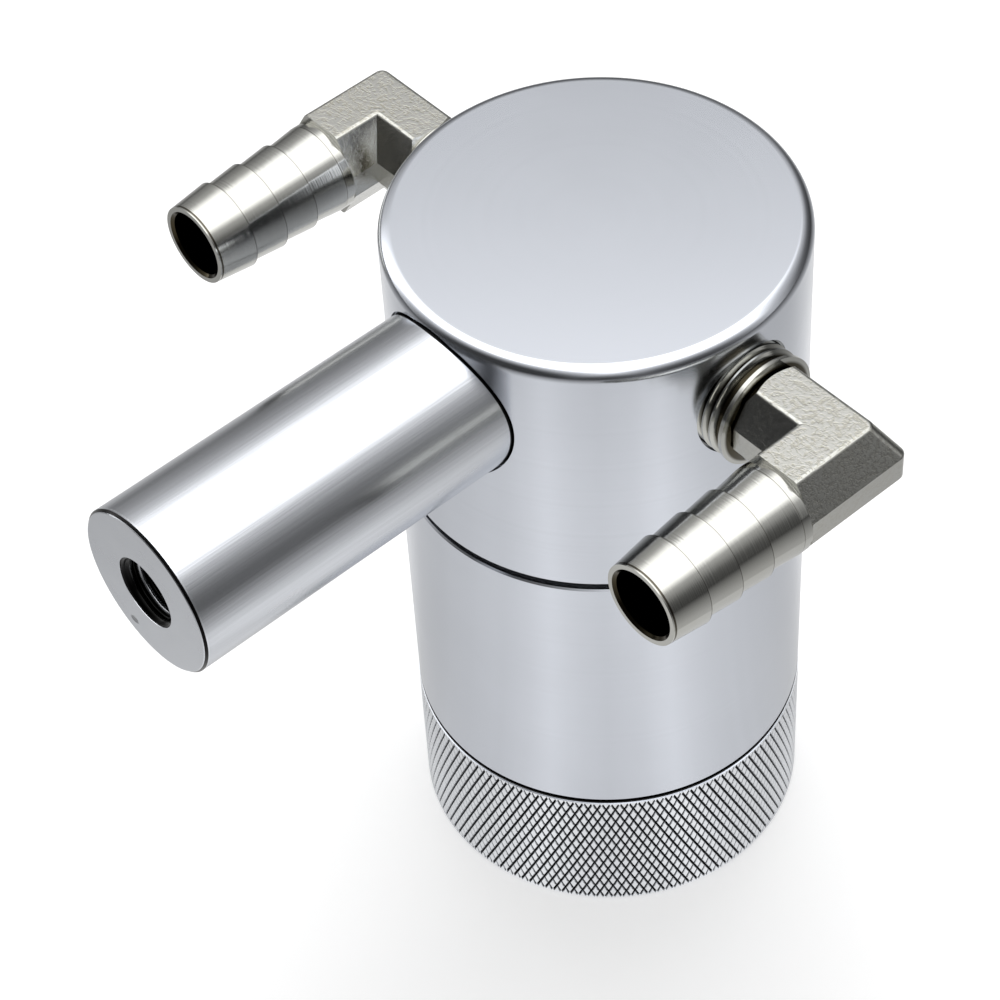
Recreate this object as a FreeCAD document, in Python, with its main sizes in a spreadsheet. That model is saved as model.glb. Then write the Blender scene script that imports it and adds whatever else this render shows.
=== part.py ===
"""Oil catch can with a side mounting arm and two hose elbows.

The can is a turned aluminium head and a turned cup that screws up onto the head's spigot.
The origin is the centre of the cup's base, +Z is up the can, the mounting arm points along
-Y and the two ports lie on +X and -X. All lengths are millimetres.
"""

import FreeCAD, Part
import Sketcher
import math
import os

from FreeCAD import Placement, Rotation, Vector

# Each size that can be set by itself, with what it measures.
SIZES = [
    ("body_radius", 30.0, "outside radius of the head and the cup"),
    ("can_height", 120.0, "from the base to the top face"),
    ("cup_height", 76.0, "from the base to the rim of the cup"),
    ("seam_gap", 1.2, "open joint between the rim of the cup and the head"),
    ("top_round", 2.0, "rounding of the top edge"),
    ("base_chamfer", 0.6, "chamfer round the base"),
    ("seam_chamfer", 0.25, "broken edges on both sides of the joint"),
    ("floor_thickness", 6.0, "floor of the cup"),
    ("cup_wall", 6.0, "wall of the cup"),
    ("cup_floor_round", 3.0, "rounding where the wall meets the floor"),
    ("knurl_top", 26.5, "height of the turned line above the knurl"),
    ("knurl_line_width", 0.6, "width of the turned line above the knurl"),
    ("knurl_line_depth", 0.5, "depth of the turned line above the knurl"),
    ("knurl_land", 0.5, "smooth land between the line and the knurl"),
    ("knurl_depth", 0.45, "depth of the knurl from crest to root"),
    ("knurl_rise", 0.1, "how far the crests stand above the smooth wall"),
    ("knurl_count", 80, "diamonds round the grip"),
    ("knurl_rows", 6, "full diamonds up the grip"),
    ("screw_wall", 5.0, "wall of the cup outside the crests of the joining thread"),
    ("screw_clearance", 0.15, "radial gap between the joining threads"),
    ("screw_length", 12.0, "joining thread on the spigot, which sets the travel"),
    ("spigot_relief", 0.8, "runout groove at the root of the spigot"),
    ("spigot_chamfer", 0.8, "lead of the spigot"),
    ("screw_run_in", 2.0, "bore left below the spigot before the cup narrows"),
    ("head_wall", 9.0, "wall of the head round its chamber"),
    ("roof_thickness", 4.5, "top wall of the head"),
    ("roof_round", 1.5, "rounding between the chamber and its roof"),
    ("boss_radius", 6.0, "boss under the roof that holds the stud"),
    ("boss_height", 8.5, "boss under the roof that holds the stud"),
    ("boss_gap", 1.0, "left between the boss and the passages faced inside the chamber"),
    ("seal_groove_wall", 1.0, "wall of the cup outside the seal groove in its rim"),
    ("seal_groove_width", 2.8, "seal groove in the rim"),
    ("seal_groove_depth", 0.9, "seal groove in the rim"),
    ("seal_clearance", 0.1, "gap beside the seal in its groove"),
    ("seal_round", 0.7, "rounding of the pressed seal"),
    ("port_drop", 13.5, "from the top face down to the axis of both ports"),
    ("port_radius", 8.33, "port thread, at its crests"),
    ("port_clearance", 0.08, "radial gap round the port thread"),
    ("port_depth", 6.0, "port thread from the outside of the head"),
    ("port_lead", 0.7, "countersink round the port"),
    ("port_way", 5.0, "radius of the passage from the port to the chamber"),
    ("port_face_radius", 7.3, "flat faced inside the chamber round each passage"),
    ("port_face_slope", 3.75, "run of the cone that leads out of each faced flat"),
    ("arm_drop", 14.0, "from the top face down to the axis of the mounting arm"),
    ("arm_radius", 12.5, "mounting arm"),
    ("arm_reach", 80.0, "from the axis of the can to the end of the arm"),
    ("arm_gap", 0.3, "radial gap round the arm in its socket"),
    ("socket_wall", 6.0, "wall left under the socket of the arm"),
    ("arm_edge", 0.4, "chamfer on both ends of the arm"),
    ("mount_radius", 4.3, "mounting thread in the end of the arm, tapping size"),
    ("mount_depth", 22.0, "mounting thread in the end of the arm"),
    ("mount_lead", 0.9, "countersink of the mounting thread"),
    ("bolt_radius", 4.0, "screw that holds the arm"),
    ("bolt_clearance", 0.05, "radial gap round the screw in its thread"),
    ("bolt_length", 22.0, "screw that holds the arm, under its head"),
    ("bolt_edge", 0.5, "chamfers of the screw"),
    ("bolt_spare", 3.0, "thread left beyond the end of the screw"),
    ("bolt_head_radius", 6.5, "socket head"),
    ("bolt_head_height", 8.0, "socket head"),
    ("bolt_socket", 6.0, "hexagon across its flats"),
    ("bolt_socket_depth", 4.0, "hexagon socket"),
    ("bolt_hole_gap", 0.25, "radial gap round the screw in the head"),
    ("bolt_face_radius", 7.9, "flat faced inside the chamber for the screw"),
    ("washer_thickness", 1.5, "bonded seal under the screw"),
    ("washer_radius", 7.5, "bonded seal under the screw"),
    ("dowel_radius", 1.5, "pin that keeps the arm from turning"),
    ("dowel_length", 7.0, "pin that keeps the arm from turning"),
    ("dowel_offset", 8.0, "from the axis of the arm to the pin"),
    ("dowel_gap", 0.03, "radial gap round the pin"),
    ("elbow_stand", 16.3, "from the side of the can out to the axis of the barb"),
    ("elbow_half_width", 6.8, "forging at its parting line"),
    ("elbow_top_half_width", 3.5, "flat top of the forging"),
    ("elbow_half_height", 7.4, "forging above its parting line"),
    ("elbow_side", 1.9, "upright edge above the parting line"),
    ("elbow_start", 12.3, "from the barb axis back to the end of the forging"),
    ("elbow_front", 11.2, "from the port axis to the face that the barb leaves"),
    ("elbow_round", 0.7, "softened edges of the forging"),
    ("elbow_corner", 1.6, "rounded outer corner"),
    ("elbow_bore", 5.0, "radius of the passage"),
    ("elbow_end_radius", 7.2, "turned end of the forging beside the neck"),
    ("elbow_end_cone", 1.2, "cone turned on the corners of the forging there"),
    ("neck_radius", 6.7, "round neck between the forging and the collar"),
    ("neck_length", 0.3, "round neck between the forging and the collar"),
    ("collar_radius", 8.45, "plain band behind the port thread"),
    ("collar_length", 0.6, "plain band behind the port thread"),
    ("collar_slope", 0.4, "cone of the collar towards the neck"),
    ("port_thread_pitch", 1.34, "port thread"),
    ("port_thread_depth", 0.8, "port thread"),
    ("port_end_gap", 0.4, "between the end of the elbow and the floor of the port"),
    ("barb_reach", 35.5, "from the port axis to the mouth of the barb"),
    ("barb_crest", 6.85, "radius of the crests of the barb"),
    ("barb_root", 6.3, "radius behind each crest"),
    ("barb_mouth", 6.15, "radius of the mouth"),
    ("barb_pitch", 5.6, "from crest to crest"),
    ("barb_first", 6.1, "from the mouth to the first crest"),
    ("barb_collar", 6.9, "radius of the round collar at the root of the barb"),
    ("barb_collar_length", 1.6, "round collar at the root of the barb"),
    ("barb_lip", 0.4, "countersink inside the mouth"),
    ("tube_radius", 5.0, "drop tube"),
    ("tube_wall", 0.8, "drop tube"),
    ("tube_fit", 0.03, "radial gap round the drop tube in the head"),
    ("tube_bend", 7.5, "bend of the drop tube"),
    ("tube_end_gap", 4.0, "from the splash plate up to the lower end of the drop tube"),
    ("ferrule_radius", 6.9, "ferrule that stops the drop tube"),
    ("ferrule_length", 2.4, "ferrule that stops the drop tube"),
    ("tube_lead", 0.1, "straight run between the ferrule and the bend of the tube"),
    ("stud_radius", 2.5, "centre stud"),
    ("stud_gap", 0.1, "radial gap round the centre stud"),
    ("stud_depth", 8.0, "stud screwed into the boss"),
    ("stud_tail", 1.5, "stud left below its nut"),
    ("spacer_radius", 4.5, "tubes that set the plates apart"),
    ("upper_spacer_length", 15.0, "tube from the boss to the upper screen"),
    ("lower_spacer_length", 24.0, "tube from the lower screen to the splash plate"),
    ("screen_thickness", 1.0, "perforated screens"),
    ("screen_gap", 0.3, "gap between the screens and the chamber"),
    ("screen_hole", 1.6, "radius of the perforations"),
    ("screen_ring_inset", 3.0, "from the wall of the chamber in to the ring of perforations"),
    ("screen_inner_ring", 9.5, "radius of the arc of inner perforations"),
    ("screen_count", 18, "perforations in the ring"),
    ("screen_inner_count", 6, "perforations in the inner arc"),
    ("screen_inner_spread", 150.0, "degrees that the inner arc spans, clear of the drop tube"),
    ("tube_hole_gap", 0.2, "gap round the drop tube in the screens and the pad"),
    ("pad_height", 20.0, "knitted wire pad"),
    ("pad_gap", 0.4, "gap between the pad and the chamber"),
    ("splash_radius", 17.0, "splash plate under the drop tube"),
    ("splash_thickness", 1.0, "splash plate"),
    ("splash_rim", 1.5, "upturned rim of the splash plate"),
    ("nut_flats", 8.0, "nut on the centre stud, across its flats"),
    ("nut_height", 4.0, "nut on the centre stud"),
    ("nut_washer_radius", 5.0, "washer over the nut"),
    ("nut_washer_thickness", 1.0, "washer over the nut"),
]

TOWARDS_ARM = Rotation(Vector(1, 0, 0), 90)
TURNED_ELBOW = Rotation(Vector(0, 1, 0), 180)
# How far a cutting profile reaches past what it cuts, and a joined one into its piece.
BEYOND = 1.0
# Share of the pitch that each flank of a thread ridge takes.
THREAD_FLANK = 0.4


class Size:
    """A length together with the sheet expression that drives it."""

    def __init__(self, value, text):
        self.value = float(value)
        self.text = text

    def join(self, other, sign, value):
        return Size(value, f"({self.text} {sign} {as_size(other).text})")

    def __add__(self, other):
        return self.join(other, "+", self.value + as_size(other).value)

    def __radd__(self, other):
        return as_size(other) + self

    def __sub__(self, other):
        return self.join(other, "-", self.value - as_size(other).value)

    def __rsub__(self, other):
        return as_size(other) - self

    def __mul__(self, other):
        return self.join(other, "*", self.value * as_size(other).value)

    def __rmul__(self, other):
        return as_size(other) * self

    def __truediv__(self, other):
        return self.join(other, "/", self.value / as_size(other).value)

    def __neg__(self):
        return Size(-self.value, f"(0 - {self.text})")


def as_size(number):
    return number if isinstance(number, Size) else Size(number, f"{float(number):.6f}")


class Sizes:
    """The sheet of driving sizes, each read by its name, and what several pieces work out from it."""

    def __init__(self, doc):
        self.sheet = doc.addObject("Spreadsheet::Sheet", "Sizes")
        for row, (name, value, meaning) in enumerate(SIZES, start=1):
            self.sheet.set(f"A{row}", name)
            self.sheet.set(f"B{row}", str(value))
            self.sheet.set(f"C{row}", meaning)
            self.sheet.setAlias(f"B{row}", name)
            setattr(self, name, Size(value, f"Sizes.{name}"))
        doc.recompute()
        self.chamber_radius = self.body_radius - self.head_wall
        self.cup_bore_radius = self.body_radius - self.cup_wall
        self.screw_radius = self.body_radius - self.screw_wall
        self.seal_groove_outer = self.body_radius - self.seal_groove_wall
        self.seal_groove_inner = self.seal_groove_outer - self.seal_groove_width
        self.port_height = self.can_height - self.port_drop
        self.arm_height = self.can_height - self.arm_drop
        self.elbow_reach = self.body_radius + self.elbow_stand
        self.screen_ring = self.chamber_radius - self.screen_ring_inset
        self.tube_turn = self.chamber_radius - self.ferrule_length - self.tube_lead
        self.tube_offset = self.tube_turn - self.tube_bend


# Helpers that make features inside a body.


def new_body(doc, label):
    body = doc.addObject("PartDesign::Body", label)
    body.Label = label
    return body


def origin_plane(body, role):
    return next(item for item in body.Origin.OriginFeatures if item.Role == role)


def bind(item, prop, size):
    """Drive one property by the sheet."""
    item.setExpression(prop, as_size(size).text)


def new_sketch(body, name, role, shift_x=0.0, shift_y=0.0, shift_z=0.0):
    sketch = body.newObject("Sketcher::SketchObject", name)
    sketch.AttachmentSupport = (origin_plane(body, role), [""])
    sketch.MapMode = "FlatFace"
    shifts = (as_size(shift_x), as_size(shift_y), as_size(shift_z))
    sketch.AttachmentOffset = Placement(Vector(*(shift.value for shift in shifts)), Rotation())
    for axis, shift in zip("xyz", shifts):
        if shift.value != 0.0:
            bind(sketch, f"AttachmentOffset.Base.{axis}", shift)
    return sketch


def pin_point(sketch, geometry, end, x, y):
    """Hold one end of a line, or a circle's centre, at a driven place."""
    for kind, size in (("DistanceX", as_size(x)), ("DistanceY", as_size(y))):
        number = sketch.addConstraint(Sketcher.Constraint(kind, -1, 1, geometry, end, size.value))
        sketch.setExpression(f"Constraints[{number}]", size.text)


def pin_level(sketch, geometry, end, y):
    """Hold one end of a line at a driven height only."""
    size = as_size(y)
    number = sketch.addConstraint(Sketcher.Constraint("DistanceY", -1, 1, geometry, end, size.value))
    sketch.setExpression(f"Constraints[{number}]", size.text)


def draw_outline(sketch, points):
    """A closed outline of straight lines through driven points."""
    corners = [Vector(as_size(x).value, as_size(y).value, 0) for x, y in points]
    count = len(corners)
    first = sketch.GeometryCount
    for index in range(count):
        line = Part.LineSegment(corners[index], corners[(index + 1) % count])
        sketch.addGeometry(line, False)
    for index in range(count):
        following = first + (index + 1) % count
        sketch.addConstraint(Sketcher.Constraint("Coincident", first + index, 2, following, 1))
    for index, (x, y) in enumerate(points):
        pin_point(sketch, first + index, 1, x, y)


def draw_circle(sketch, radius, x=0.0, y=0.0):
    centre = Vector(as_size(x).value, as_size(y).value, 0)
    number = sketch.addGeometry(Part.Circle(centre, Vector(0, 0, 1), radius.value), False)
    limit = sketch.addConstraint(Sketcher.Constraint("Radius", number, radius.value))
    sketch.setExpression(f"Constraints[{limit}]", radius.text)
    pin_point(sketch, number, 3, x, y)


def draw_hexagon(sketch, flats):
    """A regular hexagon about the sketch origin, given across its flats."""
    half = flats / 2
    corner = flats / math.sqrt(3)
    points = [(half, corner / 2), (0.0, corner), (-half, corner / 2)]
    points += [(-half, -corner / 2), (0.0, -corner), (half, -corner / 2)]
    draw_outline(sketch, points)


def add_feature(body, kind, name, sketch, **values):
    feature = body.newObject(kind, name)
    feature.Profile = sketch
    for prop, value in values.items():
        if isinstance(value, Size):
            setattr(feature, prop, value.value)
            bind(feature, prop, value)
        else:
            setattr(feature, prop, value)
    sketch.Visibility = False
    return feature


def turn(body, name, sketch, axis="V_Axis"):
    """Material turned about an axis of its sketch."""
    about = (sketch, [axis])
    return add_feature(body, "PartDesign::Revolution", name, sketch, ReferenceAxis=about, Angle=360)


def bore(body, name, sketch, axis="V_Axis"):
    """Material cut away by turning a profile about an axis of its sketch."""
    about = (sketch, [axis])
    return add_feature(body, "PartDesign::Groove", name, sketch, ReferenceAxis=about, Angle=360)


def pad(body, name, sketch, length, **values):
    return add_feature(body, "PartDesign::Pad", name, sketch, Length=as_size(length), **values)


def pocket(body, name, sketch, length, **values):
    return add_feature(body, "PartDesign::Pocket", name, sketch, Length=as_size(length), **values)


def mirror(body, name, original, role):
    feature = body.newObject("PartDesign::Mirrored", name)
    feature.Originals = [original]
    feature.MirrorPlane = (origin_plane(body, role), [""])
    body.Tip = feature
    return feature


def rings_at(shape, radius, height):
    """Names of the full circles of one radius at one height."""
    found = []
    for number, edge in enumerate(shape.Edges, start=1):
        curve = edge.Curve
        if not isinstance(curve, Part.Circle):
            continue
        if abs(curve.Radius - radius) < 1e-4 and abs(curve.Center.z - height) < 1e-4:
            found.append(f"Edge{number}")
    return found


def dress(body, kind, name, edges, size):
    """A Fillet or a Chamfer on edges of the body as it stands."""
    base = body.Tip
    feature = body.newObject(f"PartDesign::{kind}", name)
    feature.Base = (base, edges)
    prop = "Radius" if kind == "Fillet" else "Size"
    setattr(feature, prop, size.value)
    bind(feature, prop, size)
    body.Document.recompute()
    return feature


def place(body, x=0.0, y=0.0, z=0.0, rotation=None):
    """Put a body in the can's frame at a driven place."""
    spot = (as_size(x), as_size(y), as_size(z))
    turned = rotation if rotation is not None else Rotation()
    body.Placement = Placement(Vector(*(size.value for size in spot)), turned)
    for axis, size in zip("xyz", spot):
        bind(body, f"Placement.Base.{axis}", size)


# The head.


def head_levels(s):
    """Heights that the head shares with what is inside it."""
    levels = {
        "foot": s.cup_height + s.seam_gap,
        "roof": s.can_height - s.roof_thickness,
    }
    levels["spigot"] = s.cup_height - s.screw_length
    levels["boss"] = levels["roof"] - s.boss_height
    levels["screen"] = levels["boss"] - s.upper_spacer_length
    levels["pad"] = levels["screen"] - s.screen_thickness
    levels["lower_screen"] = levels["pad"] - s.pad_height
    levels["lower_spacer"] = levels["lower_screen"] - s.screen_thickness
    levels["splash"] = levels["lower_spacer"] - s.lower_spacer_length
    levels["washer"] = levels["splash"] - s.splash_thickness
    levels["nut"] = levels["washer"] - s.nut_washer_thickness
    return levels


def make_head(doc, s):
    body = new_body(doc, "head")
    level = head_levels(s)
    spigot = s.screw_radius - s.screw_clearance
    relief = spigot - s.spigot_relief
    stud_hole = s.stud_radius + s.stud_gap
    hole_top = level["boss"] + s.stud_depth
    profile = new_sketch(body, "head_profile", "XZ_Plane")
    draw_outline(
        profile,
        [
            (0.0, s.can_height),
            (s.body_radius, s.can_height),
            (s.body_radius, level["foot"]),
            (relief, level["foot"]),
            (relief, level["foot"] - 2 * s.spigot_relief),
            (spigot, level["foot"] - 3 * s.spigot_relief),
            (spigot, level["spigot"] + s.spigot_chamfer),
            (spigot - s.spigot_chamfer, level["spigot"]),
            (s.chamber_radius, level["spigot"]),
            (s.chamber_radius, level["roof"]),
            (s.boss_radius, level["roof"]),
            (s.boss_radius, level["boss"]),
            (stud_hole, level["boss"]),
            (stud_hole, hole_top),
            (0.0, hole_top + stud_hole / 2),
        ],
    )
    turn(body, "head_turned", profile)
    doc.recompute()
    shape = body.Shape
    dress(body, "Fillet", "top_edge", rings_at(shape, s.body_radius.value, s.can_height.value), s.top_round)
    corner = rings_at(body.Shape, s.chamber_radius.value, level["roof"].value)
    dress(body, "Fillet", "roof_corner", corner, s.roof_round)
    foot = rings_at(body.Shape, s.body_radius.value, level["foot"].value)
    dress(body, "Chamfer", "foot_edge", foot, s.seam_chamfer)

    face = s.chamber_radius
    wide = s.port_radius + s.port_clearance
    deep = s.body_radius - s.port_depth
    outside = s.body_radius + 2 * s.port_lead
    port = [
        (s.boss_radius + s.boss_gap, 0.0),
        (s.boss_radius + s.boss_gap, s.port_way / 2),
        (face - s.port_face_slope, s.port_face_radius),
        (face, s.port_face_radius),
        (face, s.port_way),
        (deep, s.port_way),
        (deep, wide),
        (s.body_radius - 2 * s.port_lead, wide),
        (outside, wide + 2 * s.port_lead),
        (outside, 0.0),
    ]
    for name, side in (("outlet", 1), ("inlet", -1)):
        sketch = new_sketch(body, f"{name}_port_profile", "XZ_Plane", shift_y=s.port_height)
        draw_outline(sketch, [(side * x, y) for x, y in port])
        bore(body, f"{name}_port", sketch, "H_Axis")
        doc.recompute()

    socket = new_sketch(body, "socket_profile", "YZ_Plane", shift_y=s.arm_height)
    seat = s.chamber_radius + s.socket_wall
    hole = s.bolt_radius + s.bolt_hole_gap
    room = s.arm_radius + s.arm_gap
    draw_outline(
        socket,
        [
            (-s.boss_radius - s.boss_gap, 0.0),
            (-s.boss_radius - s.boss_gap, s.bolt_face_radius),
            (-s.chamber_radius, s.bolt_face_radius),
            (-s.chamber_radius, hole),
            (-seat, hole),
            (-seat, room),
            (-s.body_radius - s.arm_gap, room),
            (-s.body_radius - s.arm_gap, 0.0),
        ],
    )
    bore(body, "arm_socket", socket, "H_Axis")
    doc.recompute()

    dowel = new_sketch(body, "dowel_profile", "XZ_Plane", shift_z=seat)
    draw_circle(dowel, s.dowel_radius + s.dowel_gap, s.dowel_offset, s.arm_height)
    depth = s.dowel_length / 2 + s.dowel_gap
    pocket(body, "dowel_hole", dowel, depth)
    doc.recompute()
    return body


# The cup.


def knurl_ring(s, inner):
    """The grip as one ring: rows of four-sided points between crossing grooves.

    Each diamond's corners and edges lie at the root of the grooves and its middle stands
    at the crest. Every second row is shifted by half a diamond, and half diamonds close
    the ring at its top and bottom. The ring is bored out to the inner radius.
    """
    root = s.body_radius.value + s.knurl_rise.value - s.knurl_depth.value
    crest = s.body_radius.value + s.knurl_rise.value
    bottom = s.base_chamfer.value
    top = s.knurl_top.value - s.knurl_line_width.value - s.knurl_land.value
    count = int(s.knurl_count.value)
    levels = 2 * int(s.knurl_rows.value)
    rise = (top - bottom) / levels
    step = math.pi / count

    def at(radius, place, level):
        angle = place * step
        return Vector(radius * math.cos(angle), radius * math.sin(angle), bottom + level * rise)

    faces = []

    def facet(*corners):
        wire = Part.makePolygon([*corners, corners[0]])
        faces.append(Part.Face(wire))

    for level in range(levels + 1):
        for place in range(level % 2, 2 * count, 2):
            middle = at(crest, place, level)
            sides = (at(root, place + 1, level), at(root, place - 1, level))
            if level < levels:
                above = at(root, place, level + 1)
                facet(middle, sides[0], above)
                facet(middle, above, sides[1])
            if level > 0:
                below = at(root, place, level - 1)
                facet(middle, sides[1], below)
                facet(middle, below, sides[0])
    for level in (0, levels):
        rim = []
        for place in range(2 * count):
            radius = crest if place % 2 == level % 2 else root
            rim.append(at(radius, place, level))
        rim.append(rim[0])
        hole = Part.makeCircle(inner, Vector(0, 0, bottom + level * rise))
        faces.append(Part.Face([Part.makePolygon(rim), Part.Wire(hole)], "Part::FaceMakerBullseye"))
    lining = Part.makeCylinder(inner, top - bottom, Vector(0, 0, bottom)).Faces[0]
    faces.append(lining)
    shell = Part.makeShell(faces)
    solid = Part.makeSolid(shell)
    if solid.Volume < 0:
        solid.reverse()
    return solid


def make_cup(doc, s):
    level = head_levels(s)
    middle = (s.body_radius + s.cup_bore_radius) / 2
    knurl = doc.addObject("Part::Feature", "cup_knurl")
    knurl.Shape = knurl_ring(s, middle.value)

    blank = new_body(doc, "cup_blank")
    line_foot = s.knurl_top - s.knurl_line_width
    wide_foot = level["spigot"] - s.screw_run_in
    groove_floor = s.cup_height - s.seal_groove_depth
    run_out = s.screw_radius - s.cup_bore_radius
    profile = new_sketch(blank, "cup_profile", "XZ_Plane")
    draw_outline(
        profile,
        [
            (0.0, 0.0),
            (s.body_radius - s.base_chamfer, 0.0),
            (s.body_radius, s.base_chamfer),
            (middle, s.base_chamfer),
            (middle, line_foot - s.knurl_land),
            (s.body_radius, line_foot - s.knurl_land),
            (s.body_radius, line_foot),
            (s.body_radius - s.knurl_line_depth, line_foot),
            (s.body_radius - s.knurl_line_depth, s.knurl_top),
            (s.body_radius, s.knurl_top),
            (s.body_radius, s.cup_height - s.seam_chamfer),
            (s.body_radius - s.seam_chamfer, s.cup_height),
            (s.seal_groove_outer, s.cup_height),
            (s.seal_groove_outer, groove_floor),
            (s.seal_groove_inner, groove_floor),
            (s.seal_groove_inner, s.cup_height),
            (s.screw_radius, s.cup_height),
            (s.screw_radius, wide_foot),
            (s.cup_bore_radius, wide_foot - run_out),
            (s.cup_bore_radius, s.floor_thickness),
            (0.0, s.floor_thickness),
        ],
    )
    turn(blank, "cup_turned", profile)
    doc.recompute()
    corner = rings_at(blank.Shape, s.cup_bore_radius.value, s.floor_thickness.value)
    dress(blank, "Fillet", "floor_corner", corner, s.cup_floor_round)
    lead = rings_at(blank.Shape, s.screw_radius.value, s.cup_height.value)
    dress(blank, "Chamfer", "rim_lead", lead, s.seam_chamfer)

    cup = doc.addObject("Part::Fuse", "cup")
    cup.Label = "cup"
    cup.Base = blank
    cup.Tool = knurl
    cup.Refine = False
    doc.recompute()
    return cup


def make_seal(doc, s):
    """The ring that fills its groove in the rim and is pressed against the head."""
    body = new_body(doc, "cup_seal")
    inner = s.seal_groove_inner + s.seal_clearance
    outer = s.seal_groove_outer - s.seal_clearance
    foot = s.cup_height - s.seal_groove_depth
    top = s.cup_height + s.seam_gap
    profile = new_sketch(body, "seal_profile", "XZ_Plane")
    draw_outline(profile, [(inner, foot), (outer, foot), (outer, top), (inner, top)])
    turn(body, "seal_turned", profile)
    doc.recompute()
    edges = []
    for radius in (inner.value, outer.value):
        for height in (foot.value, top.value):
            edges += rings_at(body.Shape, radius, height)
    dress(body, "Fillet", "seal_pressed", edges, s.seal_round)
    return body


# The mounting arm and what holds it.


def make_arm(doc, s):
    body = new_body(doc, "mounting_arm")
    seat = s.chamber_radius + s.socket_wall
    length = s.arm_reach - seat
    grip = s.bolt_length - s.washer_thickness - s.socket_wall
    bolt_hole = s.bolt_radius + s.bolt_clearance
    bolt_floor = grip + s.bolt_spare
    mount_floor = length - s.mount_depth
    profile = new_sketch(body, "arm_profile", "XZ_Plane")
    draw_outline(
        profile,
        [
            (bolt_hole + s.arm_edge, 0.0),
            (s.arm_radius - s.arm_edge, 0.0),
            (s.arm_radius, s.arm_edge),
            (s.arm_radius, length - s.arm_edge),
            (s.arm_radius - s.arm_edge, length),
            (s.mount_radius + s.mount_lead, length),
            (s.mount_radius, length - s.mount_lead),
            (s.mount_radius, mount_floor),
            (0.0, mount_floor - s.mount_radius / 2),
            (0.0, bolt_floor + bolt_hole / 2),
            (bolt_hole, bolt_floor),
            (bolt_hole, s.arm_edge),
        ],
    )
    turn(body, "arm_turned", profile)
    doc.recompute()
    dowel = new_sketch(body, "arm_dowel_profile", "XY_Plane")
    draw_circle(dowel, s.dowel_radius + s.dowel_gap, s.dowel_offset, 0.0)
    pocket(body, "arm_dowel_hole", dowel, s.dowel_length / 2 + s.dowel_gap, Reversed=True)
    doc.recompute()
    place(body, 0.0, -seat, s.arm_height, TOWARDS_ARM)
    return body


def make_arm_screw(doc, s):
    body = new_body(doc, "arm_screw")
    profile = new_sketch(body, "screw_profile", "XZ_Plane")
    draw_outline(
        profile,
        [
            (0.0, -s.bolt_head_height),
            (s.bolt_head_radius - s.bolt_edge, -s.bolt_head_height),
            (s.bolt_head_radius, s.bolt_edge - s.bolt_head_height),
            (s.bolt_head_radius, 0.0),
            (s.bolt_radius, 0.0),
            (s.bolt_radius, s.bolt_length - s.bolt_edge),
            (s.bolt_radius - s.bolt_edge, s.bolt_length),
            (0.0, s.bolt_length),
        ],
    )
    turn(body, "screw_turned", profile)
    doc.recompute()
    hexagon = new_sketch(body, "screw_hexagon", "XY_Plane", shift_z=-s.bolt_head_height)
    draw_hexagon(hexagon, s.bolt_socket)
    pocket(body, "screw_socket", hexagon, s.bolt_socket_depth, Reversed=True)
    doc.recompute()
    place(body, 0.0, s.washer_thickness - s.chamber_radius, s.arm_height, TOWARDS_ARM)
    return body


def make_ring(doc, label, inner, outer, thickness):
    """A flat ring standing on its local XY plane."""
    body = new_body(doc, label)
    sketch = new_sketch(body, f"{label}_outline", "XY_Plane")
    draw_circle(sketch, as_size(outer))
    draw_circle(sketch, as_size(inner))
    pad(body, f"{label}_pad", sketch, thickness)
    doc.recompute()
    return body


def make_arm_washer(doc, s):
    inner = s.bolt_radius + s.bolt_hole_gap
    body = make_ring(doc, "arm_seal_washer", inner, s.washer_radius, s.washer_thickness)
    place(body, 0.0, s.washer_thickness - s.chamber_radius, s.arm_height, TOWARDS_ARM)
    return body


def make_dowel(doc, s):
    body = new_body(doc, "arm_dowel")
    edge = s.dowel_radius / 5
    profile = new_sketch(body, "dowel_outline", "XZ_Plane")
    draw_outline(
        profile,
        [
            (0.0, 0.0),
            (s.dowel_radius - edge, 0.0),
            (s.dowel_radius, edge),
            (s.dowel_radius, s.dowel_length - edge),
            (s.dowel_radius - edge, s.dowel_length),
            (0.0, s.dowel_length),
        ],
    )
    turn(body, "dowel_turned", profile)
    doc.recompute()
    seat = s.chamber_radius + s.socket_wall
    place(body, s.dowel_offset, s.dowel_length / 2 - seat, s.arm_height, TOWARDS_ARM)
    return body


# The hose elbows.


def leg_outline(s, half, run):
    """The L of the forging seen from above, from its two ends round the outer corner."""
    start = -s.elbow_start - run
    front = -s.elbow_front - run
    return [
        (start, -half),
        (-half, -half),
        (-half, front),
        (half, front),
        (half, half),
        (start, half),
    ]


def thread_points(s, start, stop):
    """Ridges of the port thread between two places along the port, crest to crest."""
    root = s.port_radius - s.port_thread_depth
    ridges = int((stop.value - start.value) / s.port_thread_pitch.value)
    points = []
    for number in range(ridges):
        foot = start + number * s.port_thread_pitch
        points.append((foot, root))
        points.append((foot + THREAD_FLANK * s.port_thread_pitch, s.port_radius))
        points.append((foot + (1 - THREAD_FLANK) * s.port_thread_pitch, s.port_radius))
    points.append((start + ridges * s.port_thread_pitch, root))
    return points


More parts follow.
